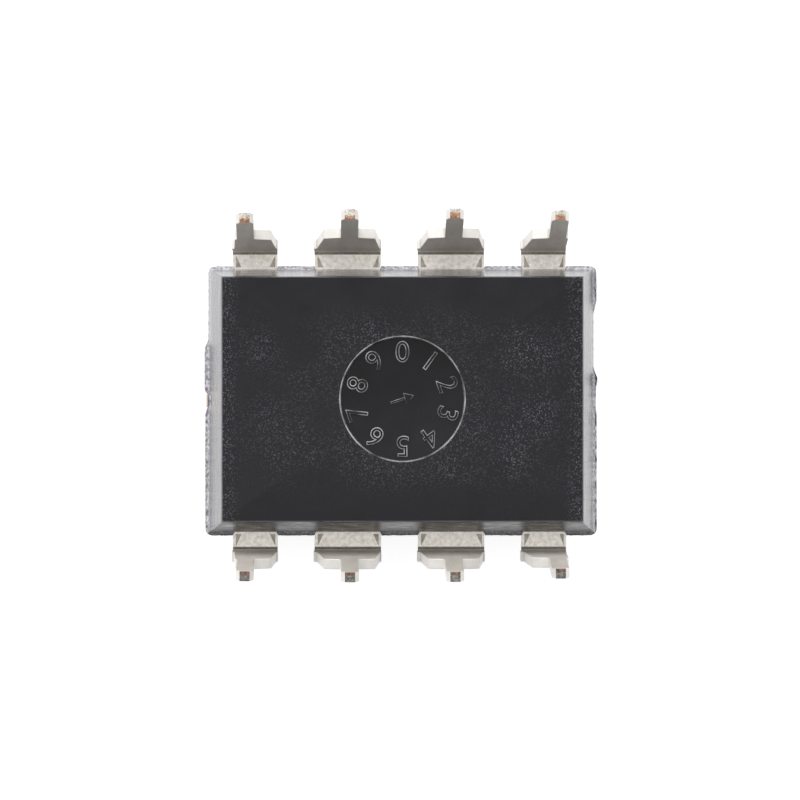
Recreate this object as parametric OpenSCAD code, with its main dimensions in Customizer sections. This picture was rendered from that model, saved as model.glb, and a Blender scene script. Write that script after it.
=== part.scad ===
// Eight-lead dual in-line integrated circuit, lying on its marked face with the leads pointing up.
// Millimetres. X runs along the rows of leads, Y across them and Z up.
// The origin is the middle of the marked face. Leads 1 to 4 are the row at +Y, from -X to +X,
// and leads 5 to 8 the row at -Y, from +X to -X.

/* [Moulded body] */
// Length of the body at the parting plane
body_l = 9.46; // [9.2:0.02:10.4]
// Width of the body at the parting plane
body_w = 6.46; // [6.2:0.02:7]
// Height of the body, from the marked face to the underside
body_h = 3.3; // [3:0.05:4]
// Draft of both ends of the marked half, in degrees
marked_draft = 11.5; // [5:0.5:14]
// Draft of the -X end of the underside half, in degrees
left_draft = 12.4; // [5:0.2:14]
// Draft of the +X end of the underside half, in degrees
right_draft = 10.6; // [5:0.2:14]
// Draft of the two long sides, in degrees
side_draft = 8.6; // [5:0.2:12]
// Width of the worn edge around the marked face and the underside
edge_break = 0.04; // [0.01:0.01:0.1]
// Radius of the half-round orientation notch in the marked face
notch_r = 0.76; // [0.5:0.02:0.9]
// Depth of the orientation notch
notch_depth = 0.9; // [0.3:0.05:1.1]

/* [Mould insert recess] */
// Diameter of the round recess in the underside
disc_d = 3.05; // [2:0.05:3.6]
// Depth of the recess
disc_depth = 0.08; // [0.04:0.01:0.2]
// Width of the sloping wall around the recess
disc_wall = 0.03; // [0.01:0.005:0.06]

/* [Flash rim] */
// How far the flash stands proud of the body at the parting plane
rim_proud = 0.088; // [0.05:0.002:0.12]
// Radius of the corners of the rim
rim_corner_r = 0.15; // [0.08:0.01:0.3]
// What is left of the rim where it broke away
rim_stump = 0.012; // [0.004:0.002:0.03]
// Where the break at the -X end starts, measured from the middle; it runs to the +Y corner
left_break_from = 1.43; // [1.3:0.01:2.4]
// Where the break at the +X end starts
right_break_from = 0.77; // [0.7:0.01:1]
// Where the break at the +X end stops
right_break_to = 2.32; // [2:0.01:2.6]
// How far the broken gate stands proud of the body at both ends
gate_proud = 0.11; // [0.09:0.002:0.16]
// Length along Y of the raised gate scar at the +X end
right_gate_l = 0.42; // [0.2:0.02:0.5]
// Length along Y of the raised gate scar at the -X end
left_gate_l = 1.26; // [0.6:0.02:1.26]
// Depth of the chip in the body over the tie bar at the -X end
chip_depth = 0.07; // [0.04:0.01:0.1]
// Height of that chip
chip_h = 0.14; // [0.06:0.02:0.2]

/* [Lead frame] */
// Thickness of the copper strip
frame_t = 0.25; // [0.2:0.01:0.3]
// Spacing of the leads in a row
pitch = 2.54; // [2.5:0.01:2.6]
// Length of each lead that runs level out of the body before its bend
level_l = 0.35; // [0.2:0.01:0.5]
// Inside radius of the bend
bend_r = 0.12; // [0.1:0.01:0.3]
// Outward lean of the bent leads, in degrees
splay = 6.3; // [1:0.1:10]
// What each lead, from 1 to 8, leans beyond that, in degrees
lean_change = [-0.9, 0.1, 0.3, -0.2, -0.8, 0.1, 0.2, -0.1]; // [-1:0.1:1]

/* [Lead outline] */
// Width of the broad part of an inner lead at the bend
broad_w = 1.59; // [1.4:0.01:1.7]
// Width of the broad part of an inner lead at its step
step_w = 1.26; // [1:0.01:1.35]
// Height above the level strip at which the broad part starts to narrow
narrow_from = 0.1; // [0.02:0.01:0.4]
// Height of the step above the underside of the body
step_h = 0.48; // [0.38:0.01:1]
// Drop of the step from the stem out to its corner
step_slope = 0.1; // [0:0.01:0.2]
// Width of the stem
stem_w = 0.43; // [0.38:0.01:0.55]
// Width kept outside the stem's middle on a corner lead
corner_w = 0.265; // [0.24:0.005:0.4]
// Radius of the inside corner between step and stem
step_fillet = 0.07; // [0.02:0.01:0.12]
// Height of the lead ends above the underside of the body
lead_h = 3.5; // [3:0.05:3.8]
// Width of the cut end
tip_w = 0.25; // [0.15:0.01:0.35]
// Length of the taper that leads to the cut end
tip_l = 0.24; // [0.15:0.01:0.4]
// Height of the middle of the cut dambar stubs above the level strip
stub_from = 0.16; // [0.1:0.01:0.3]
// Height of the cut dambar stubs
stub_h = 0.24; // [0.16:0.02:0.3]
// How far the stub on the -X side stands out
stub_left = 0.06; // [0.02:0.005:0.08]
// How far the stub on the +X side stands out
stub_right = 0.02; // [0.01:0.005:0.06]

/* [Inside the body] */
// Length of the die pad
pad_l = 3.4; // [3:0.05:3.6]
// Width of the die pad
pad_w = 2.4; // [2:0.05:2.6]
// How far the pad is pressed out of the plane of the lead frame
pad_offset = 0.2; // [0.1:0.01:0.3]
// Width of the tie bars that held the pad
tie_bar_w = 0.31; // [0.25:0.01:0.4]
// How far the cut end of a tie bar lies inside the edge of the rim
tie_bar_short = 0.035; // [0.01:0.005:0.05]
// Gap between the die pad and the lead fingers
finger_gap = 0.25; // [0.2:0.01:0.35]
// Width of the fingers of the inner leads
finger_w = 0.62; // [0.5:0.02:0.8]
// Width of the tips of the corner fingers
corner_finger_w = 0.46; // [0.35:0.01:0.5]
// Length over which the broad part of a lead is held in the body
anchor_l = 0.75; // [0.65:0.01:0.85]
// Diameter of the anchor hole in the embedded part of a lead
anchor_hole_d = 0.34; // [0.2:0.02:0.4]
// Length of the silicon die
die_l = 1.7; // [1.2:0.05:2.4]
// Width of the silicon die
die_w = 1.3; // [1:0.05:1.8]
// Thickness of the silicon die
die_t = 0.3; // [0.2:0.01:0.35]
// Thickness of the die attach film
attach_t = 0.03; // [0.02:0.005:0.05]
// How far the film squeezes out beyond the die
attach_fillet = 0.06; // [0.03:0.01:0.15]
// Diameter of the bond wire
wire_d = 0.038; // [0.025:0.001:0.05]
// Height of the wire loop over the line between its two bonds
loop_h = 0.32; // [0.25:0.01:0.45]
// Diameter of the flattened ball of a bond
bond_d = 0.1; // [0.08:0.005:0.13]
// Thickness of a bond
bond_t = 0.02; // [0.015:0.001:0.03]
// Distance of the bonds from the edge of the die and of the finger
bond_edge = 0.12; // [0.08:0.01:0.2]

/* [Hidden] */

$fn = 48;
clear = 1;
per_row = 4;

// Levels along Z. The copper strip lies across the parting plane, in the middle of the height.
frame_bottom = (body_h - frame_t) / 2;
frame_top = frame_bottom + frame_t;
pad_bottom = frame_bottom + pad_offset;
attach_bottom = pad_bottom - attach_t;
die_bottom = attach_bottom - die_t;

// Height of each half of the moulding, and the middle of the underside between its two drafted ends.
marked_h = frame_bottom;
underside_h = body_h - frame_top;
underside_x = underside_h * (tan(left_draft) - tan(right_draft)) / 2;

// The two outer sides of the drafted body at the parting plane and the outer edge of the rim.
end_x = body_l / 2;
side_y = body_w / 2;
rim_x = end_x + rim_proud;
gate_x = end_x + gate_proud;
tie_x = rim_x - tie_bar_short;

// The bend: where it starts, its centre, and the levels of the step and the cut end above it.
bend_y = side_y + level_l;
bend_z = frame_top + bend_r;
bend_out_r = bend_r + frame_t;
step_z = body_h + step_h;
tip_z = body_h + lead_h;

// Where the broad part of a lead stops inside the body, and how far a finger runs into it.
anchor_y = side_y - anchor_l;
finger_root = anchor_l / 4;

// Colours of the bare materials.
epoxy = "#303033";
tin = "#b0aaa3";
copper = "#b9754f";
silicon = "#5d6470";
silver_epoxy = "#c9c9c6";
gold = "#d9b04a";

// A lead's place: 1 to 4 run from -X to +X in the row at +Y, 5 to 8 run back in the row at -Y.
function column(n) = n <= per_row ? n - 1 : 2 * per_row - n;
function lead_x(n) = (column(n) - (per_row - 1) / 2) * pitch;
function row_side(n) = n <= per_row ? 1 : -1;
function is_first(n) = column(n) == 0;
function is_last(n) = column(n) == per_row - 1;
function is_corner(n) = is_first(n) || is_last(n);

// A lead's own lean, and the length of the straight leg that then reaches the level of the cut end.
function lean(n) = splay + lean_change[n - 1];
function leg_l(n) = (tip_z - bend_z + bend_r * sin(lean(n))) / cos(lean(n));

// How far the broad part reaches to each side of the stem's middle. A corner lead is cut off outside.
function reach_left(n, w) = is_first(n) ? corner_w : w / 2;
function reach_right(n, w) = is_last(n) ? corner_w : w / 2;

// One drafted side of a section, from the parting plane up to the worn edge of the outer face.
function drafted_side(half, height, draft) =
    [
        [half, 0],
        [half - (height - edge_break) * tan(draft), height - edge_break],
        [half - height * tan(draft) - edge_break, height],
    ];

// A section of one half of the body between its left and right drafts.
function half_section(half, height, left, right) =
    let (side = drafted_side(half, height, left))
    concat(
        drafted_side(half, height, right),
        [for (i = [len(side) - 1:-1:0]) [-side[i].x, side[i].y]]
    );

// Half of the moulding above the parting plane: two drafted prisms crossing each other.
module drafted_half(height, left, right) {
    intersection() {
        rotate([90, 0, 0])
            linear_extrude(body_w, center = true)
                polygon(half_section(end_x, height, left, right));
        rotate([90, 0, 90])
            linear_extrude(body_l, center = true)
                polygon(half_section(side_y, height, side_draft, side_draft));
    }
}

module rounded_rectangle(l, w, r) {
    square([l - 2 * r, w], center = true);
    square([l, w - 2 * r], center = true);
    for (x = [-1, 1], y = [-1, 1])
        translate([x * (l / 2 - r), y * (w / 2 - r)])
            circle(r);
}

// Outline of the flash around the lead frame: the gate scars are added to it, and the stretches that
// broke away and the cut ends of the tie bars are taken out.
module rim_outline() {
    stump_x = end_x + rim_stump;
    break_w = rim_proud + clear;
    difference() {
        union() {
            rounded_rectangle(body_l + 2 * rim_proud, body_w + 2 * rim_proud, rim_corner_r);
            translate([-gate_x, left_break_from - left_gate_l])
                square([gate_proud, left_gate_l]);
            translate([end_x, right_break_from - right_gate_l])
                polygon([
                    [0, 0],
                    [rim_proud, 0],
                    [gate_proud, right_gate_l / 2],
                    [rim_stump, right_gate_l],
                    [0, right_gate_l],
                ]);
        }
        translate([-stump_x - break_w, left_break_from])
            square([break_w, side_y]);
        translate([stump_x, right_break_from])
            square([break_w, right_break_to - right_break_from]);
        for (side = [-1, 1])
            translate([side * (tie_x + clear / 2), 0])
                square([clear, tie_bar_w], center = true);
    }
}

module moulding() {
    translate([0, 0, frame_top])
        drafted_half(underside_h, left_draft, right_draft);
    translate([0, 0, frame_bottom])
        linear_extrude(frame_t)
            rim_outline();
    translate([0, 0, frame_bottom])
        mirror([0, 0, 1])
            drafted_half(marked_h, marked_draft, marked_draft);
}

// The round recess that the mould insert leaves in the underside.
module insert_recess() {
    r = disc_d / 2;
    translate([underside_x, 0, body_h - disc_depth])
        rotate_extrude()
            polygon([[0, 0], [r - disc_wall, 0], [r, disc_depth], [r, clear], [0, clear]]);
}

// The chip in the body over one tie bar, where the bar was sheared off.
module tie_bar_chip() {
    translate([-end_x, 0, frame_top])
        rotate([90, 0, 0])
            linear_extrude(tie_bar_w, center = true)
                polygon([
                    [-clear, 0],
                    [chip_depth, 0],
                    [chip_h * tan(left_draft), chip_h],
                    [-clear, chip_h],
                ]);
}

module orientation_notch() {
    face_x = end_x - marked_h * tan(marked_draft);
    translate([-face_x, 0, -clear])
        cylinder(h = notch_depth + clear, r = notch_r);
}

module package_body() {
    color(epoxy)
        difference() {
            moulding();
            insert_recess();
            tie_bar_chip();
            orientation_notch();
            for (n = [1:2 * per_row]) {
                lead(n);
                bond_wire(n);
            }
            die_pad();
            die_attach();
            silicon_die();
        }
}

// Side view of the strip, in Y and Z: level from the middle of the body, round the bend and up the leg.
// The bend is the part of a ring right of its centre and below the line where the leg takes over.
module strip_profile(n) {
    reach = 2 * bend_out_r;
    translate([0, frame_bottom])
        square([bend_y, frame_t]);
    translate([bend_y, bend_z]) {
        intersection() {
            difference() {
                circle(bend_out_r);
                circle(bend_r);
            }
            translate([0, -reach])
                square(reach);
            rotate(-lean(n))
                translate([0, -reach])
                    square(reach);
        }
        rotate(-lean(n))
            translate([bend_r, 0])
                square([frame_t, leg_l(n)]);
    }
}

// Front view of the broad part and the stem, in X and Z, about the middle of the stem.
module lead_front(n) {
    left = reach_left(n, broad_w);
    right = reach_right(n, broad_w);
    step_left = reach_left(n, step_w);
    step_right = reach_right(n, step_w);
    half_stem = stem_w / 2;
    narrowing_z = frame_top + narrow_from;
    polygon([
        [-left, 0],
        [right, 0],
        [right, narrowing_z],
        [step_right, step_z - step_slope],
        [half_stem, step_z],
        [half_stem, tip_z - tip_l],
        [tip_w / 2, tip_z],
        [-tip_w / 2, tip_z],
        [-half_stem, tip_z - tip_l],
        [-half_stem, step_z],
        [-step_left, step_z - step_slope],
        [-left, narrowing_z],
    ]);
    translate([-left - stub_left, frame_top + stub_from - stub_h / 2])
        square([left + right + stub_left + stub_right, stub_h]);
    if (!is_first(n))
        mirror([1, 0])
            stem_fillet();
    if (!is_last(n))
        stem_fillet();
}

// The inside corner at the foot of the stem, on its +X side.
module stem_fillet() {
    half_stem = stem_w / 2;
    difference() {
        translate([half_stem - step_fillet, step_z - step_fillet])
            square(2 * step_fillet);
        translate([half_stem + step_fillet, step_z + step_fillet])
            circle(step_fillet);
    }
}

// Plan of the straight finger of an inner lead, in X and Y, about the middle of its stem.
module inner_finger() {
    finger_y = pad_w / 2 + finger_gap;
    translate([-finger_w / 2, finger_y])
        square([finger_w, anchor_y + finger_root - finger_y]);
}

// Plan of the slanting finger of the corner lead at the +X end, about the middle of its stem.
module corner_finger() {
    inner_x = pad_l / 2 + finger_gap - lead_x(per_row);
    outer_x = inner_x + corner_finger_w;
    near_y = tie_bar_w / 2 + finger_gap;
    far_y = near_y + finger_w;
    elbow_x = corner_w - broad_w / 4;
    polygon([
        [inner_x, near_y],
        [outer_x, near_y],
        [elbow_x, anchor_y],
        [elbow_x, anchor_y + finger_root],
        [-broad_w / 2, anchor_y + finger_root],
        [-broad_w / 2, anchor_y],
        [inner_x, far_y],
    ]);
}

// A whole lead: the bent strip, cut to its front outline from the anchor outwards and to the plan of
// its finger further in, with the anchor hole through its broad part.
module lead(n) {
    broad_middle = (reach_right(n, broad_w) - reach_left(n, broad_w)) / 2;
    color(tin)
        translate([lead_x(n), 0, 0])
            mirror([0, row_side(n) < 0 ? 1 : 0, 0])
                difference() {
                    intersection() {
                        rotate([90, 0, 90])
                            linear_extrude(2 * pitch, center = true)
                                strip_profile(n);
                        union() {
                            translate([0, anchor_y + body_w, 0])
                                rotate([90, 0, 0])
                                    linear_extrude(body_w)
                                        lead_front(n);
                            linear_extrude(body_h)
                                if (is_corner(n))
                                    mirror([is_first(n) ? 1 : 0, 0])
                                        corner_finger();
                                else
                                    inner_finger();
                        }
                    }
                    translate([broad_middle, side_y - anchor_l / 2, frame_bottom - clear / 2])
                        cylinder(h = frame_t + clear, d = anchor_hole_d);
                }
}

// The pad that carries the die, pressed out of the plane of the frame, with its two tie bars.
module die_pad() {
    bend_from = pad_l / 2 + 2 * pad_offset;
    half = [
        [pad_l / 2, pad_bottom],
        [bend_from, frame_bottom],
        [tie_x, frame_bottom],
        [tie_x, frame_top],
        [bend_from, frame_top],
        [pad_l / 2, pad_bottom + frame_t],
    ];
    other_half = [for (i = [len(half) - 1:-1:0]) [-half[i].x, half[i].y]];
    color(copper)
        intersection() {
            rotate([90, 0, 0])
                linear_extrude(pad_w, center = true)
                    polygon(concat(half, other_half));
            linear_extrude(body_h) {
                square([pad_l, pad_w], center = true);
                square([2 * tie_x, tie_bar_w], center = true);
            }
        }
}

module die_attach() {
    color(silver_epoxy)
        translate([0, 0, attach_bottom + attach_t / 2])
            cube([die_l + 2 * attach_fillet, die_w + 2 * attach_fillet, attach_t], center = true);
}

module silicon_die() {
    color(silicon)
        translate([0, 0, die_bottom + die_t / 2])
            cube([die_l, die_w, die_t], center = true);
}

// The two ends of a wire in plan: a bond pad near the edge of the die and the tip of the finger.
function die_bond(n) =
    let (toward = lead_x(n) > 0 ? 1 : -1)
    is_corner(n)
        ? [toward * (die_l / 2 - bond_edge), row_side(n) * die_w / 5]
        : [toward * die_l / 4, row_side(n) * (die_w / 2 - bond_edge)];
function finger_bond(n) =
    let (toward = lead_x(n) > 0 ? 1 : -1)
    is_corner(n)
        ? [
            toward * (pad_l / 2 + finger_gap + bond_edge),
            row_side(n) * (tie_bar_w / 2 + finger_gap + finger_w / 2),
        ]
        : [
            toward * (abs(lead_x(n)) - finger_w / 4),
            row_side(n) * (pad_w / 2 + finger_gap + bond_edge),
        ];

// A wire is an arc that hangs below its two bonds. Its ends stop at the faces it is bonded to.
module bond_wire(n) {
    a = die_bond(n);
    b = finger_bond(n);
    span = norm(b - a);
    rise = frame_bottom - die_bottom;
    chord = norm([span, rise]);
    arc_r = (chord * chord / 4 + loop_h * loop_h) / (2 * loop_h);
    half_angle = asin(chord / 2 / arc_r) + atan(wire_d / arc_r);
    color(gold) {
        difference() {
            translate([(a.x + b.x) / 2, (a.y + b.y) / 2, (die_bottom + frame_bottom) / 2])
                rotate([0, -atan2(rise, span), atan2(b.y - a.y, b.x - a.x)])
                    translate([0, 0, arc_r - loop_h])
                        rotate([90, 0, 0])
                            rotate([0, 0, -90 - half_angle])
                                rotate_extrude(angle = 2 * half_angle)
                                    translate([arc_r, 0])
                                        circle(d = wire_d);
            silicon_die();
            translate([0, 0, frame_bottom + clear / 2])
                cube([body_l, body_w, clear], center = true);
        }
        translate([a.x, a.y, die_bottom - bond_t])
            cylinder(h = bond_t, d = bond_d);
        translate([b.x, b.y, frame_bottom - bond_t])
            cylinder(h = bond_t, d = bond_d);
    }
}

package_body();
die_pad();
die_attach();
silicon_die();
for (n = [1:2 * per_row]) {
    lead(n);
    bond_wire(n);
}
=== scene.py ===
import math

import bmesh
import bpy
import numpy as np
from mathutils import Matrix, Vector, noise


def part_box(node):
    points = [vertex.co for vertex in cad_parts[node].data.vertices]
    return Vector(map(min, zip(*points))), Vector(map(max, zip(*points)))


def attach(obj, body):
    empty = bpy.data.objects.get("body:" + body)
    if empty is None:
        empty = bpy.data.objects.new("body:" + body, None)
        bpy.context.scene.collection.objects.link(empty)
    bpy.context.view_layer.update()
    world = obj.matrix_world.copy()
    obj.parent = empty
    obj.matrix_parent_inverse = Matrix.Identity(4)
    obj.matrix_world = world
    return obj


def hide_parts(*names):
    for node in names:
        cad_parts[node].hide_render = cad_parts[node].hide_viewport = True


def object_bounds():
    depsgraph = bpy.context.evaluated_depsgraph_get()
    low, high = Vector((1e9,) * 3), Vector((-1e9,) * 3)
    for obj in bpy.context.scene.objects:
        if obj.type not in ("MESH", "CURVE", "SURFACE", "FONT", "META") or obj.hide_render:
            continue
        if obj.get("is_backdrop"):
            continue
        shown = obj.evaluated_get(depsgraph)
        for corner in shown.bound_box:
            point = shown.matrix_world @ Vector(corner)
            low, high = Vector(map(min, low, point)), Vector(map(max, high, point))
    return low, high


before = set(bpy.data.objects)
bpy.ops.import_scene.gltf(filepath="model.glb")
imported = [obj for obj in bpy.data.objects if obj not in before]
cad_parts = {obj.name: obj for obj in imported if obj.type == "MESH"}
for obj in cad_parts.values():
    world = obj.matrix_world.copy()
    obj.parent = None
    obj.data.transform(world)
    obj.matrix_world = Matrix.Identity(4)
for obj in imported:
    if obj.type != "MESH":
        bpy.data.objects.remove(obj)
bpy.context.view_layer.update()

# Camera
# The photograph was taken from almost straight above, through a long lens, with the rows of leads
# running from left to right. The two tilts and the lens were fitted to the corners and lead ends.
MM = 0.001
VIEW_TARGET = Vector((-0.0235, 0.017, 1.65)) * MM
VIEW_DISTANCE = 250 * MM
VIEW_TILT = (math.radians(1.441), math.radians(-0.443), math.radians(-0.032))
VIEW_LENS = 457.2

camera_data = bpy.data.cameras.new("camera")
camera_data.lens = VIEW_LENS
camera_data.clip_start = 5 * MM
camera = bpy.data.objects.new("camera", camera_data)
camera.rotation_euler = VIEW_TILT
camera.location = VIEW_TARGET + camera.rotation_euler.to_matrix() @ Vector((0, 0, VIEW_DISTANCE))
bpy.context.collection.objects.link(camera)
bpy.context.scene.camera = camera

# Floor and light
# A plain white sheet under the part, lit by a large soft box overhead and by an even white room.
# Camera, glossy and transmitted rays see the sheet almost white, and it still takes the part's shadow.
FLOOR_WIDTH = 2.0
FLOOR_GAP = 0.002 * MM
FLOOR_GLOW = 0.8
ROOM_STRENGTH = 0.9
WINDOW_SIDE = (-0.15, 0.8, 0.0)
BOX_PLACE = (-0.12, 0.28, 0.36)
BOX_WIDTH = 0.3
BOX_WATTS = 0.6


def linear(colour):
    """An sRGB hex colour as the linear red, green, blue and alpha that the shaders take."""
    channels = [int(colour[i:i + 2], 16) / 255 for i in (1, 3, 5)]
    return [c / 12.92 if c <= 0.04045 else ((c + 0.055) / 1.055) ** 2.4 for c in channels] + [1.0]


def add(tree, kind, links=None, **settings):
    """Adds a node of a kind. links names an input and the socket that feeds it, and settings are
    node attributes, or input values where the name is written with its place, such as in_2."""
    node = tree.nodes.new("ShaderNode" + kind)
    for name, value in settings.items():
        if name.startswith("in_"):
            key = name[3:]
            socket = node.inputs[int(key)] if key.isdigit() else node.inputs[key.replace("_", " ")]
            socket.default_value = value
        else:
            setattr(node, name, value)
    for name, source in (links or {}).items():
        tree.links.new(source, node.inputs[name])
    return node


def new_material(name):
    material = bpy.data.materials.new(name)
    material.use_nodes = True
    tree = material.node_tree
    tree.nodes.clear()
    return material, tree


def link_object(name, mesh, materials):
    for material in materials:
        mesh.materials.append(material)
    piece = bpy.data.objects.new(name, mesh)
    bpy.context.collection.objects.link(piece)
    return piece


def background_share(tree):
    """1 for the rays that should see the white background, and 0 for those that light the part."""
    path = add(tree, "LightPath")
    seen = add(tree, "Math", {0: path.outputs["Is Camera Ray"], 1: path.outputs["Is Glossy Ray"]},
               operation="MAXIMUM")
    return add(tree, "Math", {0: seen.outputs[0], 1: path.outputs["Is Transmission Ray"]},
               operation="MAXIMUM").outputs[0]


paper, tree = new_material("white_paper_sweep")
grain = add(tree, "TexNoise", in_Scale=900.0, in_Detail=4.0)
shade = add(tree, "ValToRGB", {0: grain.outputs["Fac"]})
shade.color_ramp.elements[0].color = linear("#bcbcbc")
shade.color_ramp.elements[1].color = linear("#c6c6c6")
diffuse = add(tree, "BsdfDiffuse", {"Color": shade.outputs["Color"]})
glow = add(tree, "Emission", in_Color=linear("#ffffff"), in_Strength=FLOOR_GLOW)
lit = add(tree, "AddShader", {0: diffuse.outputs[0], 1: glow.outputs[0]})
mix = add(tree, "MixShader", {0: background_share(tree), 1: diffuse.outputs[0], 2: lit.outputs[0]})
add(tree, "OutputMaterial", {"Surface": mix.outputs[0]})

sheet = bmesh.new()
bmesh.ops.create_grid(sheet, x_segments=1, y_segments=1, size=FLOOR_WIDTH / 2)
bmesh.ops.translate(sheet, verts=sheet.verts, vec=(0, 0, -FLOOR_GAP))
sheet_mesh = bpy.data.meshes.new("floor")
sheet.to_mesh(sheet_mesh)
sheet.free()
floor = link_object("floor", sheet_mesh, [paper])
floor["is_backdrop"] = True

room = bpy.data.worlds.new("room")
room.use_nodes = True
tree = room.node_tree
tree.nodes.clear()
direction = add(tree, "TexCoord").outputs["Generated"]
towards = add(tree, "VectorMath", {0: direction}, operation="DOT_PRODUCT", in_1=WINDOW_SIDE)
level = add(tree, "Math", {0: towards.outputs["Value"]}, operation="ADD", in_1=ROOM_STRENGTH)
even = add(tree, "Background", {"Strength": level.outputs[0]}, in_Color=linear("#ffffff"))
white = add(tree, "Background", in_Color=linear("#ffffff"), in_Strength=1.0)
seen = add(tree, "LightPath").outputs["Is Camera Ray"]
mix = add(tree, "MixShader", {0: seen, 1: even.outputs[0], 2: white.outputs[0]})
add(tree, "OutputWorld", {"Surface": mix.outputs[0]})
bpy.context.scene.world = room
bpy.context.scene.view_settings.view_transform = "Standard"

lamp = bpy.data.lights.new("window_soft_box", "AREA")
lamp.shape = "SQUARE"
lamp.size = BOX_WIDTH
lamp.energy = BOX_WATTS
box = bpy.data.objects.new("window_soft_box", lamp)
box.location = BOX_PLACE
box.rotation_euler = (-Vector(BOX_PLACE)).to_track_quat("-Z", "Y").to_euler()
bpy.context.collection.objects.link(box)

# Moulded body
# One transfer-moulded block of black silica-filled epoxy in two drafted halves. The underside is
# spark-eroded matte, the drafted sides are polished so that the mould lets go, and a torn flash rim
# of the lead frame's thickness stands out at the parting plane. Nothing is fixed to it but the leads.
BODY_HALF_L = 4.73 * MM
BODY_HALF_W = 3.23 * MM
BODY_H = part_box("package_body")[1][2]
STRIP_T = 0.25 * MM
STRIP_LOW = (BODY_H - STRIP_T) / 2
STRIP_HIGH = STRIP_LOW + STRIP_T
MARKED_DRAFT = math.radians(11.5)
LEFT_DRAFT = math.radians(12.4)
RIGHT_DRAFT = math.radians(10.6)
SIDE_DRAFT = math.radians(8.6)
EDGE_BREAK = 0.022 * MM
SLACK = 0.001 * MM
BODY_CORNER_R = 0.03 * MM
RIM_CORNER_R = 0.16 * MM
RIM_PROUD = 0.084 * MM
RIM_STEP = 0.03 * MM
RIM_MOST = 0.105 * MM
FLASH_GAP = 0.004 * MM
RIM_ROWS = 5
RIM_WORN = 0.045 * MM
LEDGE_SHARE = 0.5
RAMP_H = 0.08 * MM
NOTCH_R = 0.76 * MM
NOTCH_DEPTH = 0.9 * MM
PITCH = 2.54 * MM
PER_ROW = 4
BROAD_HALF = 0.795 * MM
BROAD_SHIFT = 0.03 * MM
CORNER_HALF = 0.265 * MM


def column(number):
    return number - 1 if number <= PER_ROW else 2 * PER_ROW - number


def stem_x(number):
    return (column(number) - (PER_ROW - 1) / 2) * PITCH


def reach(number, side, half):
    """How far a lead reaches to one side of its stem: a corner lead is cut off on its outer side."""
    outer = (side < 0 and column(number) == 0) or (side > 0 and column(number) == PER_ROW - 1)
    return CORNER_HALF if outer else half


# How far the torn flash stands out along each end: Y and reach in millimetres. It is broken off in two
# places, thicker where the resin ran in, and open where a tie bar comes through.
FLASH_LEFT = ((-4, 0.084), (-0.35, 0.084), (-0.2, 0.05), (-0.155, 0.02), (0.155, 0.02), (0.2, 0.07),
              (0.3, 0.1), (1.3, 0.1), (1.5, 0.003), (4, 0.003))
FLASH_RIGHT = ((-4, 0.084), (-0.3, 0.084), (-0.15, 0.06), (0.3, 0.066), (0.45, 0.098), (0.56, 0.104),
               (0.68, 0.05), (0.85, 0.003), (2.15, 0.003), (2.32, 0.05), (2.45, 0.084), (4, 0.084))


def end_rim(x, y):
    ys, reaches = zip(*(FLASH_LEFT if x < 0 else FLASH_RIGHT))
    return float(np.interp(y / MM, ys, reaches)) * MM


def side_rim(x):
    """How far the flash stands out along a row of leads: none where a lead comes through."""
    for number in range(1, PER_ROW + 1):
        left = stem_x(number) - reach(number, -1, BROAD_HALF) - BROAD_SHIFT
        right = stem_x(number) + reach(number, 1, BROAD_HALF) - BROAD_SHIFT
        if left - FLASH_GAP < x < right + FLASH_GAP:
            return SLACK
    return RIM_PROUD


def rounded(x, y, half_left, half_right, half_y, radius):
    """Pulls a point of the body's rectangular outline in to a rounded corner."""
    half_x = half_left if x < 0 else half_right
    inner_x = math.copysign(half_x - radius, x)
    inner_y = math.copysign(half_y - radius, y)
    if abs(x) <= half_x - radius or abs(y) <= half_y - radius:
        return x, y
    away = Vector((x - inner_x, y - inner_y))
    if away.length > radius:
        away = away.normalized() * radius
    return inner_x + away.x, inner_y + away.y


def body_level(z, inset_left, inset_right, inset_y):
    return BODY_HALF_L - inset_left, BODY_HALF_L - inset_right, BODY_HALF_W - inset_y, z


def drafted_levels(height, left, right, count, start=0):
    """The levels of one half from the parting plane outwards, with its worn edge."""
    levels = []
    for i in range(count + 1):
        rise = start + (height - EDGE_BREAK - start) * i / count
        levels.append((rise, 0))
    for turn in (math.radians(30), math.radians(60), math.radians(90)):
        rise = height - EDGE_BREAK + EDGE_BREAK * math.sin(turn)
        levels.append((rise, EDGE_BREAK * (1 - math.cos(turn))))
    return [(rise, *[rise * math.tan(draft) + pull for draft in (left, right, SIDE_DRAFT)])
            for rise, pull in levels]


TIE_BAR_HALF = 0.155 * MM
TIE_BAR_GAP = 0.02 * MM
TIE_BAR_SKIN = 0.005 * MM
CHIP_DEPTH = 0.07 * MM
CHIP_H = 0.25 * MM
marked_half = drafted_levels(STRIP_LOW, MARKED_DRAFT, MARKED_DRAFT, 6)
underside_half = drafted_levels(BODY_H - STRIP_HIGH, LEFT_DRAFT, RIGHT_DRAFT, 10, RAMP_H)
levels = [("marked", body_level(STRIP_LOW - z, *insets)) for z, *insets in reversed(marked_half)]
for row in range(RIM_ROWS):
    levels.append(("rim", body_level(STRIP_LOW + (STRIP_T - RIM_WORN) * row / (RIM_ROWS - 1), 0, 0, 0)))
levels.append(("ledge", body_level(STRIP_HIGH, 0, 0, 0)))
levels += [("underside", body_level(STRIP_HIGH + z, *insets)) for z, *insets in underside_half]

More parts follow.
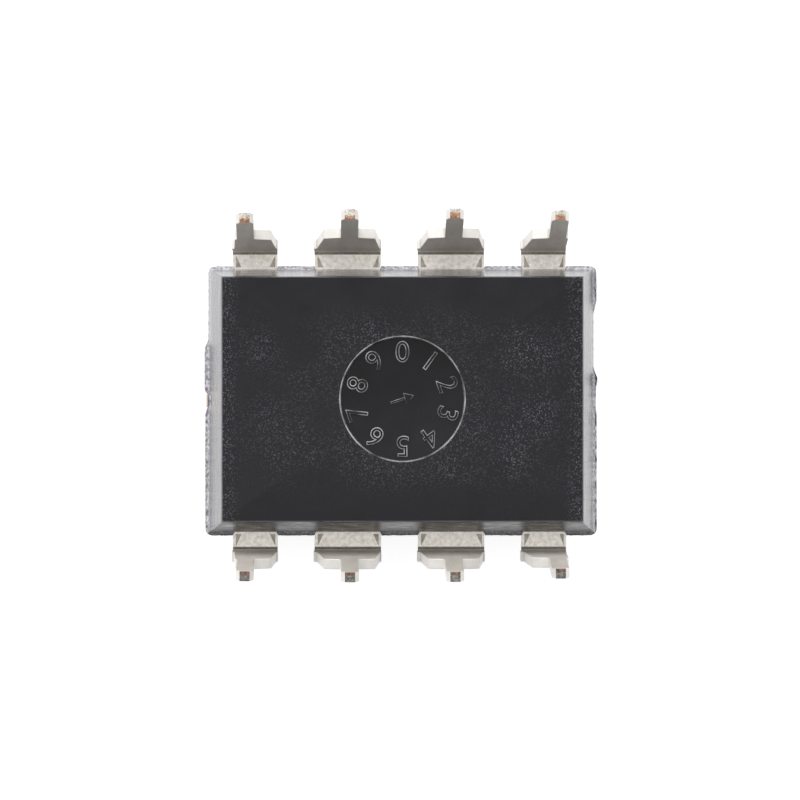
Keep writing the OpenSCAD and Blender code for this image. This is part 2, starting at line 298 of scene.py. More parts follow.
body = bmesh.new()
outline = [body.verts.new((sx, sy, 0)) for sx, sy in ((-1, -1), (1, -1), (1, 1), (-1, 1))]
sides = [body.edges.new((outline[i], outline[(i + 1) % 4])) for i in range(4)]
bmesh.ops.subdivide_edges(body, edges=[sides[0], sides[2]], cuts=round(2 * BODY_HALF_L / RIM_STEP))
bmesh.ops.subdivide_edges(body, edges=[sides[1], sides[3]], cuts=round(2 * BODY_HALF_W / RIM_STEP))
unit = [(v, v.co.x, v.co.y) for v in body.verts]

# On the unit outline a point lies on a side of the body where its U or V is this near to 1.
ON_SIDE = 0.9999
COARSE_GRAIN = 0.11 * MM
FINE_GRAIN = 0.04 * MM
LEDGE_GRAIN = 0.07 * MM
GRIT = 0.012 * MM
CROWN = 0.008 * MM
LEDGE_ROUGH = 0.008 * MM
LEDGE_SUNK = 0.012 * MM


def shape_level(points, kind, level):
    """Places a loop of the outline at its level: on the drafted sides, or out on the torn rim."""
    half_left, half_right, half_y, z = level
    row = (z - STRIP_LOW) / STRIP_T
    for vert, u, v in points:
        x = u * (half_left if u < 0 else half_right)
        y = v * half_y
        drop = 0
        at_tie_bar = u < -ON_SIDE and abs(y) < TIE_BAR_HALF
        over_tie_bar = u > ON_SIDE and abs(y) < TIE_BAR_HALF + TIE_BAR_GAP
        if kind in ("rim", "ledge"):
            spot = Vector((x, y, z))
            grit = noise.noise(spot / COARSE_GRAIN) + noise.noise(spot / FINE_GRAIN) / 2
            crest = GRIT * grit - CROWN * (2 * row - 1) ** 2
            # The ledge on top of the rim lies further in, and at the tie bar inside the body's face.
            share = 1 if kind == "rim" else -1 if at_tie_bar else LEDGE_SHARE
            if abs(u) > ON_SIDE:
                reach_out = end_rim(x, y)
                if at_tie_bar:
                    crest = 0
                x += u * min(max(reach_out + crest, SLACK), RIM_MOST) * share
            if abs(v) > ON_SIDE:
                reach_out = side_rim(x)
                if reach_out > crest:
                    reach_out = max(reach_out + crest, SLACK) * share
                y += v * reach_out
            corner_y = math.copysign(BODY_HALF_W, v)
            rim_left, rim_right = (BODY_HALF_L + end_rim(end, corner_y) for end in (-1, 1))
            x, y = rounded(x, y, rim_left, rim_right, BODY_HALF_W + RIM_PROUD, RIM_CORNER_R)
            if kind == "ledge":
                drop = LEDGE_ROUGH * noise.noise(spot / LEDGE_GRAIN) - LEDGE_SUNK
        else:
            x, y = rounded(x, y, half_left, half_right, half_y, BODY_CORNER_R)
        if at_tie_bar and kind == "underside":
            x += float(np.interp(z - STRIP_HIGH, (0, CHIP_H), (CHIP_DEPTH, 0)))
        if (at_tie_bar or over_tie_bar) and STRIP_HIGH - 1.1 * RIM_WORN < z < STRIP_HIGH + SLACK:
            # The height holds for the points after this one as well, so most of the rim at the two ends
            # has no worn edge.
            z = STRIP_HIGH
            drop = TIE_BAR_SKIN
        vert.co = (x, y, z + drop)


first_edges = list(body.edges)
shape_level(unit, *levels[0])
loop_edges = first_edges
previous = {v: (u, w) for v, u, w in unit}
for kind, level in levels[1:]:
    made = bmesh.ops.extrude_edge_only(body, edges=loop_edges)["geom"]
    loop_verts = [g for g in made if isinstance(g, bmesh.types.BMVert)]
    loop_edges = [g for g in made if isinstance(g, bmesh.types.BMEdge)]
    placed = {}
    for vert in loop_verts:
        below = next(e.other_vert(vert) for e in vert.link_edges if e.other_vert(vert) in previous)
        placed[vert] = previous[below]
    shape_level([(v, *uv) for v, uv in placed.items()], kind, level)
    previous = placed

# The recess of the mould insert: a torn lip stands up round a step down to a smooth floor. Lip and wall
# are given as radius and height in millimetres.
INSERT_WALL = ((1.548, 3.3), (1.540, 3.306), (1.532, 3.309), (1.524, 3.306), (1.516, 3.295),
               (1.510, 3.235), (1.504, 3.222), (1.496, 3.22))
half_left, half_right = levels[-1][1][:2]
middle = Vector(((half_right - half_left) / 2, 0, BODY_H))
ring_edges = loop_edges
for radius, z in INSERT_WALL:
    made = bmesh.ops.extrude_edge_only(body, edges=ring_edges)["geom"]
    ring = [g for g in made if isinstance(g, bmesh.types.BMVert)]
    ring_edges = [g for g in made if isinstance(g, bmesh.types.BMEdge)]
    for vert in ring:
        flat = (vert.co - middle).to_2d().normalized() * radius * MM
        vert.co = (middle.x + flat.x, flat.y, z * MM)
floor_z = ring[0].co.z
bmesh.ops.contextual_create(body, geom=ring_edges)
bmesh.ops.contextual_create(body, geom=first_edges)
bmesh.ops.recalc_face_normals(body, faces=body.faces)
whole_mesh = bpy.data.meshes.new("uncut_body")
body.to_mesh(whole_mesh)
body.free()
uncut_body = link_object("uncut_body", whole_mesh, [])

# The half-round notch at the end of lead one is open to the marked face.
cutter = bmesh.new()
notch_x = STRIP_LOW * math.tan(MARKED_DRAFT) - BODY_HALF_L
bmesh.ops.create_cone(cutter, cap_ends=True, segments=72, radius1=NOTCH_R, radius2=NOTCH_R,
                      depth=2 * NOTCH_DEPTH, matrix=Matrix.Translation((notch_x, 0, 0)))
cutter_mesh = bpy.data.meshes.new("notch_cutter")
cutter.to_mesh(cutter_mesh)
cutter.free()
notch_cutter = link_object("notch_cutter", cutter_mesh, [])
notch = uncut_body.modifiers.new("orientation_notch", "BOOLEAN")
notch.object = notch_cutter
notch.operation = "DIFFERENCE"
notch.solver = "EXACT"
bpy.context.view_layer.update()
body = bmesh.new()
body.from_object(uncut_body, bpy.context.evaluated_depsgraph_get())
bpy.data.objects.remove(uncut_body)
bpy.data.objects.remove(notch_cutter)

# Plain numerals stand up from the floor of the recess round a pointer, as on a cavity dial.
DIGIT_H = 0.5 * MM
DIGIT_R = 1.13 * MM
DIGIT_RELIEF = 0.035 * MM
FONT_CAP = 0.7
FONT_BEVEL = 0.03
FONT_THINNER = -0.012


def raised_text(words, height, relief):
    """Numerals in relief about the origin. The font's own values are shares of its size."""
    curve = bpy.data.curves.new("numeral", "FONT")
    curve.body = words
    curve.align_x = "CENTER"
    curve.align_y = "CENTER"
    curve.extrude = relief / 2 / (height / FONT_CAP)
    curve.bevel_depth = FONT_BEVEL
    curve.bevel_resolution = 1
    curve.offset = FONT_THINNER
    stand_in = bpy.data.objects.new("numeral", curve)
    bpy.context.collection.objects.link(stand_in)
    bpy.context.view_layer.update()
    evaluated = stand_in.evaluated_get(bpy.context.evaluated_depsgraph_get())
    mesh = bpy.data.meshes.new_from_object(evaluated)
    bpy.data.objects.remove(stand_in)
    bpy.data.curves.remove(curve)
    mesh.transform(Matrix.Scale(height / FONT_CAP, 4))
    return mesh


for digit in range(10):
    angle = math.radians(90 - 36 * digit)
    mesh = raised_text(str(digit), DIGIT_H, DIGIT_RELIEF)
    mesh.transform(
        Matrix.Translation((middle.x + DIGIT_R * math.cos(angle), DIGIT_R * math.sin(angle), floor_z))
        @ Matrix.Rotation(angle - math.pi / 2, 4, "Z")
    )
    body.from_mesh(mesh)
    bpy.data.meshes.remove(mesh)

# A slim arrow in the middle of the dial points to the numeral 2.
ARROW_TURN = math.radians(-72)
SHAFT_SIZE = (0.06 * MM, 0.36 * MM, DIGIT_RELIEF)
SHAFT_Y = -0.12 * MM
HEAD_R = 0.16 * MM
HEAD_Y = 0.14 * MM
ARROW_EDGE_R = 0.012 * MM
arrow = bmesh.new()
shaft = bmesh.ops.create_cube(arrow, size=1)["verts"]
bmesh.ops.scale(arrow, verts=shaft, vec=SHAFT_SIZE)
bmesh.ops.translate(arrow, verts=shaft, vec=(0, SHAFT_Y, 0))
bmesh.ops.create_cone(arrow, cap_ends=True, segments=3, radius1=HEAD_R, radius2=HEAD_R,
                      depth=DIGIT_RELIEF * 1.1, matrix=Matrix.Translation((0, HEAD_Y, 0)))
crests = [e for e in arrow.edges if all(v.co.z > 0 for v in e.verts)]
bmesh.ops.bevel(arrow, geom=crests, offset=ARROW_EDGE_R, segments=2, affect="EDGES",
                profile=0.5, material=-1)
bmesh.ops.rotate(arrow, verts=arrow.verts, matrix=Matrix.Rotation(ARROW_TURN, 3, "Z"))
bmesh.ops.translate(arrow, verts=arrow.verts, vec=(middle.x, 0, floor_z))
arrow_mesh = bpy.data.meshes.new("arrow")
arrow.to_mesh(arrow_mesh)
arrow.free()
body.from_mesh(arrow_mesh)
bpy.data.meshes.remove(arrow_mesh)

# Each face takes the finish of its place: the rim first, then the recess, the two flats and the drafts.
(EPOXY_MATTE, EPOXY_POLISHED, EPOXY_SHADED_DRAFT, EPOXY_TORN, EPOXY_SHADED_FLASH, EPOXY_PITTED_SHADED, EPOXY_LIP_HIGHLIGHT,
 EPOXY_INSERT) = range(8)
TORN_LOW = STRIP_LOW - SLACK
TORN_HIGH = STRIP_HIGH + 0.6 * RAMP_H
PITTED_SHADED_FROM = BODY_HALF_L + 0.045 * MM
RECESS_LOW = BODY_H - 0.095 * MM
INSERT_R = 1.514 * MM
LIP_IN = 1.518 * MM
LIP_OUT = 1.546 * MM
RING_OUT = 1.56 * MM
SHARP_BODY = math.radians(20)
bmesh.ops.remove_doubles(body, verts=body.verts, dist=SLACK / 10)
body.normal_update()
for edge in body.edges:
    edge.smooth = edge.calc_face_angle(0) < SHARP_BODY
for face in body.faces:
    face.smooth = True
    centre = face.calc_center_median()
    distance = (centre - middle).to_2d().length
    on_skin = abs(centre.z - STRIP_HIGH - TIE_BAR_SKIN) < SLACK
    at_tie_bar = on_skin and centre.x < -BODY_HALF_L + 10 * SLACK
    if TORN_LOW < centre.z < TORN_HIGH:
        # Painted shade: the flash along the -Y side and the line at the tie bar are painted darker.
        if centre.y < -BODY_HALF_W or at_tie_bar:
            face.material_index = EPOXY_SHADED_FLASH
        else:
            # The +X end of the flash is painted darker as painted shade, over its own pits.
            face.material_index = EPOXY_PITTED_SHADED if centre.x > PITTED_SHADED_FROM else EPOXY_TORN
    elif centre.z > RECESS_LOW and distance < INSERT_R:
        # The slanting edges of the numerals take the lip's painted highlight.
        slanted = centre.z > floor_z + 2 * SLACK and 0.2 < face.normal.z < 0.98
        face.material_index = EPOXY_LIP_HIGHLIGHT if slanted else EPOXY_INSERT
    # The lip round the recess is painted light as a painted highlight.
    elif centre.z > RECESS_LOW and LIP_IN < distance < LIP_OUT:
        face.material_index = EPOXY_LIP_HIGHLIGHT
    elif centre.z > BODY_H - SLACK or centre.z < SLACK or distance < RING_OUT:
        face.material_index = EPOXY_MATTE
    # The drafted face on the -Y side is painted darker as painted shade.
    elif face.normal.y < -0.9:
        face.material_index = EPOXY_SHADED_DRAFT
    else:
        face.material_index = EPOXY_POLISHED
body_mesh = bpy.data.meshes.new("moulded_body")
body.to_mesh(body_mesh)
body.free()


def epoxy(name, dark, light, roughness, bump, bump_mm, stretch=(1, 1, 1), cloud_mm=0.6, uneven=0.25):
    """Black moulding compound: a dark resin full of silica, mottled and with a fine relief."""
    material, tree = new_material(name)
    place = add(tree, "TexCoord").outputs["Object"]
    drawn = add(tree, "Mapping", {"Vector": place}, in_Scale=stretch).outputs[0]
    cloud = add(tree, "TexNoise", {"Vector": drawn}, in_Scale=1 / (cloud_mm * MM), in_Detail=6.0)
    tone = add(tree, "ValToRGB", {0: cloud.outputs["Fac"]})
    tone.color_ramp.elements[0].position = 0.35
    tone.color_ramp.elements[0].color = linear(dark)
    tone.color_ramp.elements[1].position = 0.65
    tone.color_ramp.elements[1].color = linear(light)
    fine = add(tree, "TexNoise", {"Vector": drawn}, in_Scale=1 / (bump_mm * MM), in_Detail=6.0)
    relief = add(tree, "Bump", {"Height": fine.outputs["Fac"]}, in_Strength=bump, in_Distance=0.01 * MM)
    gloss = add(tree, "MapRange", {"Value": cloud.outputs["Fac"]}, in_1=0.3, in_2=0.7,
                in_3=roughness * (1 - uneven), in_4=roughness * (1 + uneven))
    shader = add(tree, "BsdfPrincipled", {"Base Color": tone.outputs[0], "Roughness": gloss.outputs[0],
                                          "Normal": relief.outputs[0]}, in_IOR=1.56)
    add(tree, "OutputMaterial", {"Surface": shader.outputs[0]})
    return material, tree, place, shader


def lay_over(tree, shader, share, colour):
    """Lays a second colour over the shader's own, by a share between 0 and 1."""
    own = shader.inputs["Base Color"].links[0].from_socket
    laid = add(tree, "Mix", {0: share, 6: own}, data_type="RGBA", in_7=linear(colour))
    tree.links.new(laid.outputs[2], shader.inputs["Base Color"])


# Spark-eroded epoxy: dark and dull. Silica grains that broke the skin show as lighter specks in drifts
# towards the ends, painted with their own pale colour and a painted glint, and the resin stays smooth
# and plain along the long edges, where the mould filled first.
# The grains are too fine to show, so the specks are drawn 0.025 mm apart.
PLAIN_FROM = 2.5 * MM
GLINTS_INSIDE_FROM = 1.4 * MM
END_BAND = (3.85 * MM, 4.4 * MM)
DRIFT = 1.6 * MM
SPECK = 0.025 * MM
GLINTS_FROM = 0.76
eroded, tree, place, shader = epoxy("epoxy_spark_eroded", "#1a1a1d", "#252529", roughness=0.72,
                                    bump=0.5, bump_mm=0.06)
shader.inputs["Specular IOR Level"].default_value = 0.25
axes = add(tree, "SeparateXYZ", {0: place})
across = add(tree, "Math", {0: axes.outputs[1]}, operation="ABSOLUTE")
inside = add(tree, "MapRange", {"Value": across.outputs[0]}, interpolation_type="SMOOTHSTEP",
             in_1=PLAIN_FROM, in_2=GLINTS_INSIDE_FROM, in_3=0.04, in_4=1.0)
along = add(tree, "Math", {0: axes.outputs[0]}, operation="ABSOLUTE")
end_band = add(tree, "MapRange", {"Value": along.outputs[0]}, interpolation_type="SMOOTHSTEP",
               in_1=END_BAND[0], in_2=END_BAND[1], in_3=0.0, in_4=0.8)
rightwards = add(tree, "MapRange", {"Value": axes.outputs[0]}, in_1=-4.0 * MM, in_2=3.0 * MM,
                 in_3=0.5, in_4=1.0)
patches = add(tree, "TexNoise", {"Vector": place}, in_Scale=1 / DRIFT, in_Detail=2.0)
drifts = add(tree, "MapRange", {"Value": patches.outputs["Fac"]}, in_1=0.36, in_2=0.68,
             in_3=0.08, in_4=1.0)
# Painted glints: the share of the lighter specks, in drifts and in bands at the ends.
glint_drifts = add(tree, "Math", {0: inside.outputs[0], 1: drifts.outputs[0]}, operation="MULTIPLY")
glint_drifts = add(tree, "Math", {0: glint_drifts.outputs[0], 1: rightwards.outputs[0]}, operation="MULTIPLY")
glint_drifts = add(tree, "Math", {0: glint_drifts.outputs[0], 1: end_band.outputs[0]}, operation="MAXIMUM")
grains = add(tree, "TexVoronoi", {"Vector": place}, in_Scale=1 / SPECK, in_Randomness=1.0)
chance = add(tree, "SeparateColor", {0: grains.outputs["Color"]})
glint = add(tree, "MapRange", {"Value": chance.outputs[0]}, in_1=GLINTS_FROM, in_2=1.0)
share = add(tree, "Math", {0: glint.outputs[0], 1: glint_drifts.outputs[0]}, operation="MULTIPLY")
lay_over(tree, shader, share.outputs[0], "#6c6b72")

# Polished draft: a glossy dark skin that mirrors the white sheet, with fine draw lines along the sides.
# A painted reflection of the white sheet lies at the foot of the draft, a pale haze that fades out
# above the flash.
PAINTED_SHEEN_H = 0.45 * MM
polished, tree, place, shader = epoxy("epoxy_polished_draft", "#3a353c", "#544f57", roughness=0.1,
                                      bump=1.0, bump_mm=0.09, stretch=(0.25, 0.25, 1.0), cloud_mm=0.2,
                                      uneven=0.9)
shader.inputs["Specular IOR Level"].default_value = 0.95
height = add(tree, "SeparateXYZ", {0: place}).outputs[2]
rise = add(tree, "Math", {0: height}, operation="SUBTRACT", in_1=STRIP_HIGH)
rise = add(tree, "Math", {0: rise.outputs[0]}, operation="ABSOLUTE")
# The pale painted reflection fades with the height from the flash.
painted_sheen = add(tree, "MapRange", {"Value": rise.outputs[0]}, in_1=PAINTED_SHEEN_H, in_2=0.0)
lay_over(tree, shader, painted_sheen.outputs[0], "#a8a6ab")
# Shaded draft: the same skin along the -Y side, rougher, and painted darker as painted shade, so that
# it mirrors less.
shaded_draft = epoxy("epoxy_draft_painted_shade", "#29282b", "#38373b", roughness=0.37, bump=0.5, bump_mm=0.06,
                stretch=(0.3, 0.3, 1.0), cloud_mm=0.12, uneven=0.4)[0]
# Torn flash: broken resin, which scatters the light and looks grey with dark pits.
broken = {"roughness": 0.6, "bump": 0.6, "bump_mm": 0.03}
torn = epoxy("epoxy_torn_flash", "#79777c", "#dfdde2", cloud_mm=0.08, **broken)[0]
# Shaded flash: the same torn resin, painted darker as painted shade along the -Y side and in the line
# at the tie bar.
shaded_flash = epoxy("epoxy_flash_painted_shade", "#3d3c3f", "#8f8d92", cloud_mm=0.08, **broken)[0]
# Pitted flash: the outer edge at the +X end, light where it broke and dark in its pits, and painted
# darker overall as painted shade.
pitted_shaded = epoxy("epoxy_pitted_flash_painted_shade", "#2f2e31", "#d6d4d9", cloud_mm=0.14, **broken)[0]
# Flash lip: the thin line of torn resin where the insert met the mould, painted light grey as a painted
# highlight where it catches the light, brighter and duller by turns.
lip_highlight = epoxy("epoxy_lip_painted_highlight", "#39383b", "#b9b7bc", roughness=0.5, bump=0.4, bump_mm=0.03,
            cloud_mm=0.45)[0]
# Insert floor: the smooth steel of the insert leaves a darker and glossier skin than the rest.
insert, _, _, shader = epoxy("epoxy_insert_floor", "#171719", "#1c1c1f", roughness=0.25, bump=0.15,
                             bump_mm=0.15)
shader.inputs["Specular IOR Level"].default_value = 0.2
epoxy_materials = [eroded, polished, shaded_draft, torn, shaded_flash, pitted_shaded, lip_highlight, insert]
moulded_body = link_object("moulded_body", body_mesh, epoxy_materials)

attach(moulded_body, "root")
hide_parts("package_body")

# Leads
# Eight fingers stamped from copper strip, tin-plated while flat, then cut free of their dambars and
# bent up in one stroke. Their sheared edges shine, and the cut ends show copper with smeared tin.
LEVEL_L = 0.35 * MM
BEND_R = 0.12 * MM
MID_R = BEND_R + STRIP_T / 2
LEANS = [math.radians(a) for a in (5.4, 6.4, 6.6, 6.1, 5.5, 6.4, 6.5, 6.2)]
BEND_Y = BODY_HALF_W + LEVEL_L
BEND_Z = STRIP_HIGH + BEND_R
TIP_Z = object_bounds()[1][2]
STEP_Z = BODY_H + 0.48 * MM
STEP_SLOPE = 0.1 * MM
STEP_HALF = 0.63 * MM
STEM_HALF = 0.215 * MM
STEP_FILLET = 0.07 * MM
TIP_HALF = 0.125 * MM
TIP_TAPER = 0.24 * MM
NARROWING_ALONG = 0.72 * MM
BURR_FROM = 0.03 * MM
BURR_TO = 0.12 * MM
STUB_LOW = 0.64 * MM
STUB_HIGH = 0.89 * MM
STUB_LEFT = 0.055 * MM
STUB_RIGHT = 0.02 * MM
ANCHOR_L = 0.75 * MM
FINGER_W = 0.62 * MM
CORNER_FINGER_W = 0.46 * MM
PAD_HALF_L = 1.7 * MM
PAD_HALF_W = 1.2 * MM
FINGER_GAP = 0.25 * MM
EDGE_R = 0.014 * MM
COPPER_SHARES = (0.45, 0.35, 0.6, 0.5, 0.35, 0.3, 0.35, 0.4)
DARK_CORNER_LOW = 0.05 * MM
DARK_CORNER_HIGH = 0.35 * MM
DARK_CORNER_WIDTH = 0.14 * MM
DARK_CORNER_INSIDE = 0.045 * MM
TIN_FACE, TIN_SHEARED, CUT_COPPER, CUT_TIN, TIN_PAINTED_SHADE, TIN_LEG = range(6)
CREASE_FROM = math.radians(5)
LEG_FROM = math.radians(31)
SHARP_TIN = math.radians(15)
BEND_STEP = math.radians(4)
LEG_STEP = 0.35 * MM
CELL_W = 0.022 * MM
CELL_H = 0.016 * MM
RAGGED = 0.045 * MM
RAGGED_PER_MM = 25
END_SLACK = 0.01 * MM


def bend_strip(vert, lean):
    """Bends a point of the flat strip: X across it, Y along it from the body, Z through it."""
    x, along, out = vert.co
    turned = math.pi / 2 - lean
    leg_start = LEVEL_L + MID_R * turned
    if along <= LEVEL_L:
        vert.co = (x, BODY_HALF_W + along, STRIP_LOW + STRIP_T / 2 - out)
        return
    angle = -math.pi / 2 + min((along - LEVEL_L) / MID_R, turned)
    past = max(along - leg_start, 0)
    radius = MID_R + out
    vert.co = (
        x,
        BEND_Y + radius * math.cos(angle) + past * math.sin(lean),
        BEND_Z + radius * math.sin(angle) + past * math.cos(lean),
    )


def lead_outline(number, lean):
    """The stamped outline of one lead, flat, from its finger round its stem and back."""
    leg_start = LEVEL_L + MID_R * (math.pi / 2 - lean)
    leg_z = BEND_Z - MID_R * math.sin(lean)

    def along(z):
        return leg_start + (z - leg_z) / math.cos(lean)

    tip = leg_start + (TIP_Z - BEND_Z + BEND_R * math.sin(lean)) / math.cos(lean)

    def flank(side):
        wide = reach(number, side, BROAD_HALF) - side * BROAD_SHIFT
        step = reach(number, side, STEP_HALF)
        stub = STUB_LEFT if side < 0 else STUB_RIGHT
        rough = 0.3 * stub
        points = [
            (wide, -ANCHOR_L), (wide, BURR_FROM), (wide + 0.5 * stub, BURR_TO),
            (wide + 0.7 * stub, STUB_LOW), (wide + stub, STUB_LOW + rough),
            (wide + stub - rough, NARROWING_ALONG), (wide + stub, STUB_HIGH - rough),
            (wide - (wide - step) * 0.1, STUB_HIGH), (step, along(STEP_Z - STEP_SLOPE)),
        ]
        if step > CORNER_HALF:
            for turn in range(5):
                a = math.radians(90 * turn / 4)
                points.append((STEM_HALF + STEP_FILLET * (1 - math.sin(a)),
                               along(STEP_Z) + STEP_FILLET * (1 - math.cos(a))))
        else:
            points.append((STEM_HALF, along(STEP_Z) + STEP_FILLET))
        points += [(STEM_HALF, tip - TIP_TAPER), (TIP_HALF, tip)]
        return [(side * x, u) for x, u in points]

    if column(number) in (0, PER_ROW - 1):
        outer = -1 if column(number) == 0 else 1
        inner_x = PAD_HALF_L + FINGER_GAP - abs(stem_x(number))
        near = TIE_BAR_HALF + FINGER_GAP - BODY_HALF_W
        elbow = CORNER_HALF - BROAD_HALF / 2
        finger = [(elbow, -ANCHOR_L), (inner_x + CORNER_FINGER_W, near), (inner_x, near),
                  (inner_x, near + FINGER_W)]
        finger = [(outer * x, u) for x, u in finger]
        if outer > 0:
            finger.reverse()
    else:
        start = PAD_HALF_W + FINGER_GAP - BODY_HALF_W
        half = FINGER_W / 2
        finger = [(-half, -ANCHOR_L), (-half, start), (half, start), (half, -ANCHOR_L)]
    return flank(1) + flank(-1)[::-1] + finger, leg_start, tip


def rubbed_corner(number, side):
    """The outer edge and the width of the triangle on the level part that is painted darker as painted
    shade.
    """
    edge_x = reach(number, side, BROAD_HALF) - side * BROAD_SHIFT - DARK_CORNER_INSIDE
    return edge_x, min(DARK_CORNER_WIDTH, 0.55 * edge_x)


def cut_through(lead, spot, facing):
    geom = lead.verts[:] + lead.edges[:] + lead.faces[:]
    bmesh.ops.bisect_plane(lead, geom=geom, dist=1e-8, plane_co=spot, plane_no=facing)


def make_lead(number):
    """Stamps one lead flat, rounds its edges, gives each face its finish and bends it."""
    lean = LEANS[number - 1]
    points, leg_start, tip = lead_outline(number, lean)
    lead = bmesh.new()
    ring = [lead.verts.new((x, u, -STRIP_T / 2)) for x, u in points]
    lead.faces.new(ring)
    # Rows across the strip let it bend, and the corners that carry the painted shade get faces of their
    # own.
    cuts = [LEVEL_L + MID_R * BEND_STEP * i for i in range(23)]
    cuts += [leg_start + LEG_STEP * i for i in range(1, 14)] + [DARK_CORNER_LOW]
    for u in cuts:
        if u < tip - 2 * END_SLACK:
            cut_through(lead, (0, u, 0), (0, 1, 0))
    for side in (-1, 1):
        edge_x, width = rubbed_corner(number, side)
        for facing in ((DARK_CORNER_HIGH - DARK_CORNER_LOW, -side * width, 0), (1, 0, 0)):
            cut_through(lead, (side * edge_x, DARK_CORNER_HIGH, 0), facing)
    made = bmesh.ops.extrude_face_region(lead, geom=lead.faces[:])["geom"]
    top = [g for g in made if isinstance(g, bmesh.types.BMVert)]
    bmesh.ops.translate(lead, verts=top, vec=(0, 0, STRIP_T))
    bmesh.ops.recalc_face_normals(lead, faces=lead.faces)
    sharp = [e for e in lead.edges if len(e.link_faces) == 2 and e.calc_face_angle() > math.radians(60)]
    bmesh.ops.bevel(lead, geom=sharp, offset=EDGE_R, segments=2, affect="EDGES", profile=0.5,
                    material=-1)
    # The cut end is divided into cells, because copper and smeared tin meet in a ragged line.
    ends = [f for f in lead.faces if f.normal.y > 0.9 and f.calc_center_median().y > tip - END_SLACK]
    copper_top = STRIP_T * (COPPER_SHARES[number - 1] - 0.5)
    planes = [((CELL_W * i, 0, 0), (1, 0, 0)) for i in range(-5, 6)]
    planes += [((0, 0, copper_top + CELL_H * i), (0, 0, 1)) for i in (-2, -1, 0, 1, 2)]
    cells = {g for f in ends for g in [f, *f.edges, *f.verts]}
    for spot, facing in planes:
        cut = bmesh.ops.bisect_plane(lead, geom=list(cells), dist=1e-8, plane_co=spot, plane_no=facing)
        cells = {g for g in cut["geom"] if g.is_valid}
    for edge in lead.edges:
        edge.smooth = edge.calc_face_angle(0) < SHARP_TIN
    for face in lead.faces:
        face.smooth = True
        face.material_index = TIN_FACE
        centre = face.calc_center_median()
        if face.normal.y > 0.9 and centre.y > tip - END_SLACK:
            spot = Vector((centre.x / MM * RAGGED_PER_MM, number, centre.z / MM * RAGGED_PER_MM))
            ragged = RAGGED * noise.noise(spot)
            face.material_index = CUT_COPPER if centre.z + ragged < copper_top else CUT_TIN
        elif abs(face.normal.z) < 0.5:
            face.material_index = TIN_SHEARED
        elif centre.y > LEVEL_L + MID_R * LEG_FROM:
            face.material_index = TIN_LEG
        # The crease and the corners of the level part take the painted shade.
        elif centre.y > LEVEL_L + MID_R * CREASE_FROM:
            face.material_index = TIN_PAINTED_SHADE
        elif face.normal.z < 0 and DARK_CORNER_LOW < centre.y < DARK_CORNER_HIGH:
            edge_x, width = rubbed_corner(number, -1 if centre.x < 0 else 1)
            if edge_x > abs(centre.x) > edge_x - width * (DARK_CORNER_HIGH - centre.y) / (DARK_CORNER_HIGH - DARK_CORNER_LOW):
                face.material_index = TIN_PAINTED_SHADE
    for vert in lead.verts:
        bend_strip(vert, lean)
    bmesh.ops.translate(lead, verts=lead.verts, vec=(stem_x(number), 0, 0))
    if number > PER_ROW:
        bmesh.ops.scale(lead, verts=lead.verts, vec=(1, -1, 1))
    bmesh.ops.recalc_face_normals(lead, faces=lead.faces)
    mesh = bpy.data.meshes.new(f"tinned_lead_{number}")
    lead.to_mesh(mesh)
    lead.free()
    return mesh


SCRATCH_GAP = 0.03 * MM


def plated(name, base, stain, roughness, scratch, stain_mm=0.5, metallic=0.85, uneven=0.03):
    """Matte tin plate over copper: a soft grey metal with stains and fine drawn scratches."""
    material, tree = new_material(name)
    place = add(tree, "TexCoord").outputs["Object"]
    # The bending tool has drawn the stains out along the legs.
    wiped = add(tree, "Mapping", {"Vector": place}, in_Scale=(1, 1, 0.12))
    cloud = add(tree, "TexNoise", {"Vector": wiped.outputs[0]}, in_Scale=1 / (stain_mm * MM),
                in_Detail=4.0, in_Roughness=0.6)
    tone = add(tree, "ValToRGB", {0: cloud.outputs["Fac"]})
    tone.color_ramp.elements[0].position = 0.3
    tone.color_ramp.elements[0].color = linear(stain)
    tone.color_ramp.elements[1].position = 0.65
    tone.color_ramp.elements[1].color = linear(base)
    # Scratches run along the lead.
    squeezed = add(tree, "Mapping", {"Vector": place}, in_Scale=(1, 0.08, 0.08))
    lines = add(tree, "TexNoise", {"Vector": squeezed.outputs[0]}, in_Scale=1 / SCRATCH_GAP,
                in_Detail=3.0)
    gloss = add(tree, "MapRange", {"Value": lines.outputs["Fac"]}, in_1=0.3, in_2=0.7,
                in_3=roughness - uneven, in_4=roughness + uneven)
    relief = add(tree, "Bump", {"Height": lines.outputs["Fac"]}, in_Strength=scratch,
                 in_Distance=0.003 * MM)
    shader = add(tree, "BsdfPrincipled", {"Base Color": tone.outputs[0], "Roughness": gloss.outputs[0],
                                          "Normal": relief.outputs[0]}, in_Metallic=metallic)
    add(tree, "OutputMaterial", {"Surface": shader.outputs[0]})
    return material


# Matte tin, plated while the strip was flat: a pale satin grey that mirrors the white sheet softly.
tin_face = plated("matte_tin_plate", "#f6f1e9", "#d2ccc1", roughness=0.3, scratch=0.03, stain_mm=0.1,
                  metallic=0.8)
# Sheared edge: the punch drew tin over the cut, which stays almost white and dull.
tin_sheared = plated("sheared_tin_edge", "#ebe7e2", "#d9d5cf", roughness=0.34, scratch=0.4,
                     metallic=0.3)
# Shaded tin: the crease and the corners of the level part, painted darker as a painted reflection of
# the dark body.
shaded_tin = plated("rubbed_tin", "#b5afa5", "#8c867c", roughness=0.32, scratch=0.1, stain_mm=0.09,
                    metallic=0.7)
# Wiped leg: tin drawn by the tool along the leg, an even grey without glints.
tin_leg = plated("wiped_tin_leg", "#e2dcd3", "#d0c9bf", roughness=0.45, scratch=0.01, stain_mm=0.3,
                 metallic=0.35)
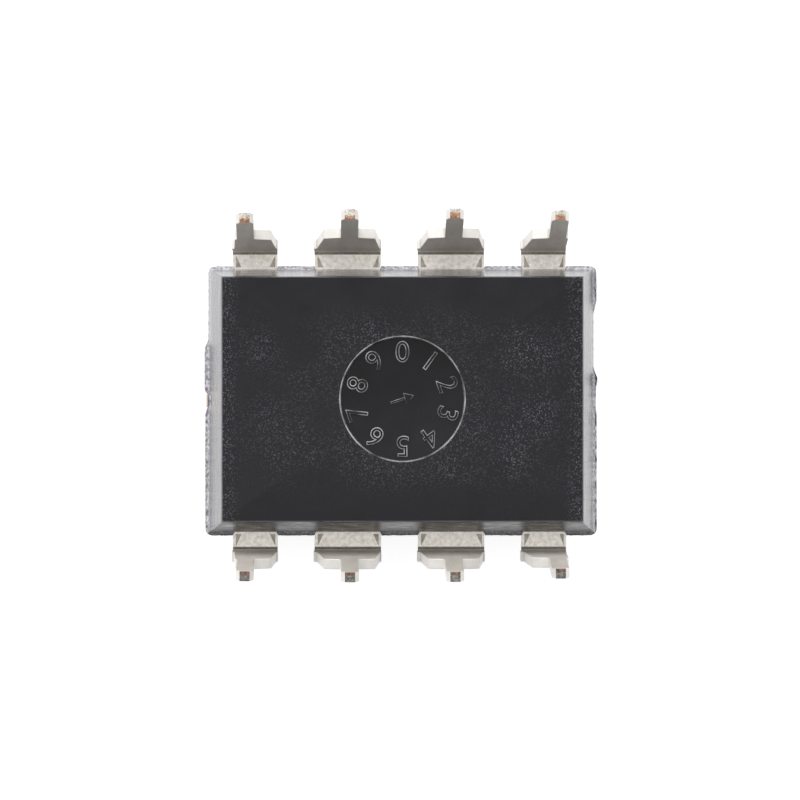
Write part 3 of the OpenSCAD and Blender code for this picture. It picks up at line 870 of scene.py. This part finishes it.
# Cut ends: orange copper with brown grain, and light grey tin smeared over it by the blade.
bright_copper = plated("cut_copper_end", "#bf9475", "#634333", roughness=0.4, scratch=0.8,
                       stain_mm=0.07, uneven=0.1)
bright_tin = plated("smeared_tin_end", "#dfdbd4", "#7d7870", roughness=0.36, scratch=0.8,
                    stain_mm=0.06, uneven=0.1)
# Second-row ends: on the second row the copper is browner and the smeared tin darker and blotched.
brown_copper = plated("second_row_copper_end", "#a0867a", "#483630", roughness=0.45, scratch=1.0,
                      stain_mm=0.07, uneven=0.1)
dark_tin = plated("second_row_tin_end", "#aaa6a1", "#45413e", roughness=0.45, scratch=1.0,
                  stain_mm=0.06, uneven=0.1)
lead_materials = [tin_face, tin_sheared, bright_copper, bright_tin, shaded_tin, tin_leg]
second_row_materials = [tin_face, tin_sheared, brown_copper, dark_tin, shaded_tin, tin_leg]
for number in range(1, 2 * PER_ROW + 1):
    finishes = lead_materials if number <= PER_ROW else second_row_materials
    tinned_lead = link_object(f"tinned_lead_{number}", make_lead(number), finishes)
    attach(tinned_lead, "root")
    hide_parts(f"lead_{number}")

# Die pad, die and wires
# They are sealed in the body, apart from the cut ends of the two tie bars that held the pad: bare
# stamped copper. The die is glued to the pad with silver epoxy, and gold wires run to the leads.


def inner_finish(name, base, stain, metallic, roughness, grain_mm):
    """A fine-grained even surface in two close tones, for the pieces sealed in the body."""
    material, tree = new_material(name)
    place = add(tree, "TexCoord").outputs["Object"]
    cloud = add(tree, "TexNoise", {"Vector": place}, in_Scale=1 / (grain_mm * MM), in_Detail=5.0)
    tone = add(tree, "ValToRGB", {0: cloud.outputs["Fac"]})
    tone.color_ramp.elements[0].color = linear(stain)
    tone.color_ramp.elements[1].color = linear(base)
    relief = add(tree, "Bump", {"Height": cloud.outputs["Fac"]}, in_Strength=0.4,
                 in_Distance=0.004 * MM)
    shader = add(tree, "BsdfPrincipled", {"Base Color": tone.outputs[0], "Normal": relief.outputs[0]},
                 in_Metallic=metallic, in_Roughness=roughness)
    add(tree, "OutputMaterial", {"Surface": shader.outputs[0]})
    return material


def dress(node, material):
    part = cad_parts[node]
    part.data.materials.clear()
    part.data.materials.append(material)


# Sheared copper: the cut ends of the tie bars show in the rim as a pale pink satin line.
dress("die_pad", inner_finish("sheared_copper", "#e6d3c6", "#b59c8c", metallic=0.6, roughness=0.45,
                              grain_mm=0.06))
# Cured paste full of silver flakes: a light grey with a dull metallic grain.
dress("die_attach", inner_finish("silver_epoxy_film", "#cfcfcb", "#a9a9a4", metallic=0.6,
                                 roughness=0.5, grain_mm=0.05))
# Polished wafer under its glass passivation: a smooth slate blue.
dress("silicon_die", inner_finish("passivated_silicon", "#6a7280", "#4c5563", metallic=0.4,
                                  roughness=0.2, grain_mm=0.12))
# Gold drawn through a die: bright yellow, with draw lines that are too fine to show.
gold_wire = inner_finish("drawn_gold_wire", "#e6bd5a", "#c99a35", metallic=1.0, roughness=0.2,
                         grain_mm=0.05)
for number in range(1, 2 * PER_ROW + 1):
    dress(f"bond_wire_{number}", gold_wire)
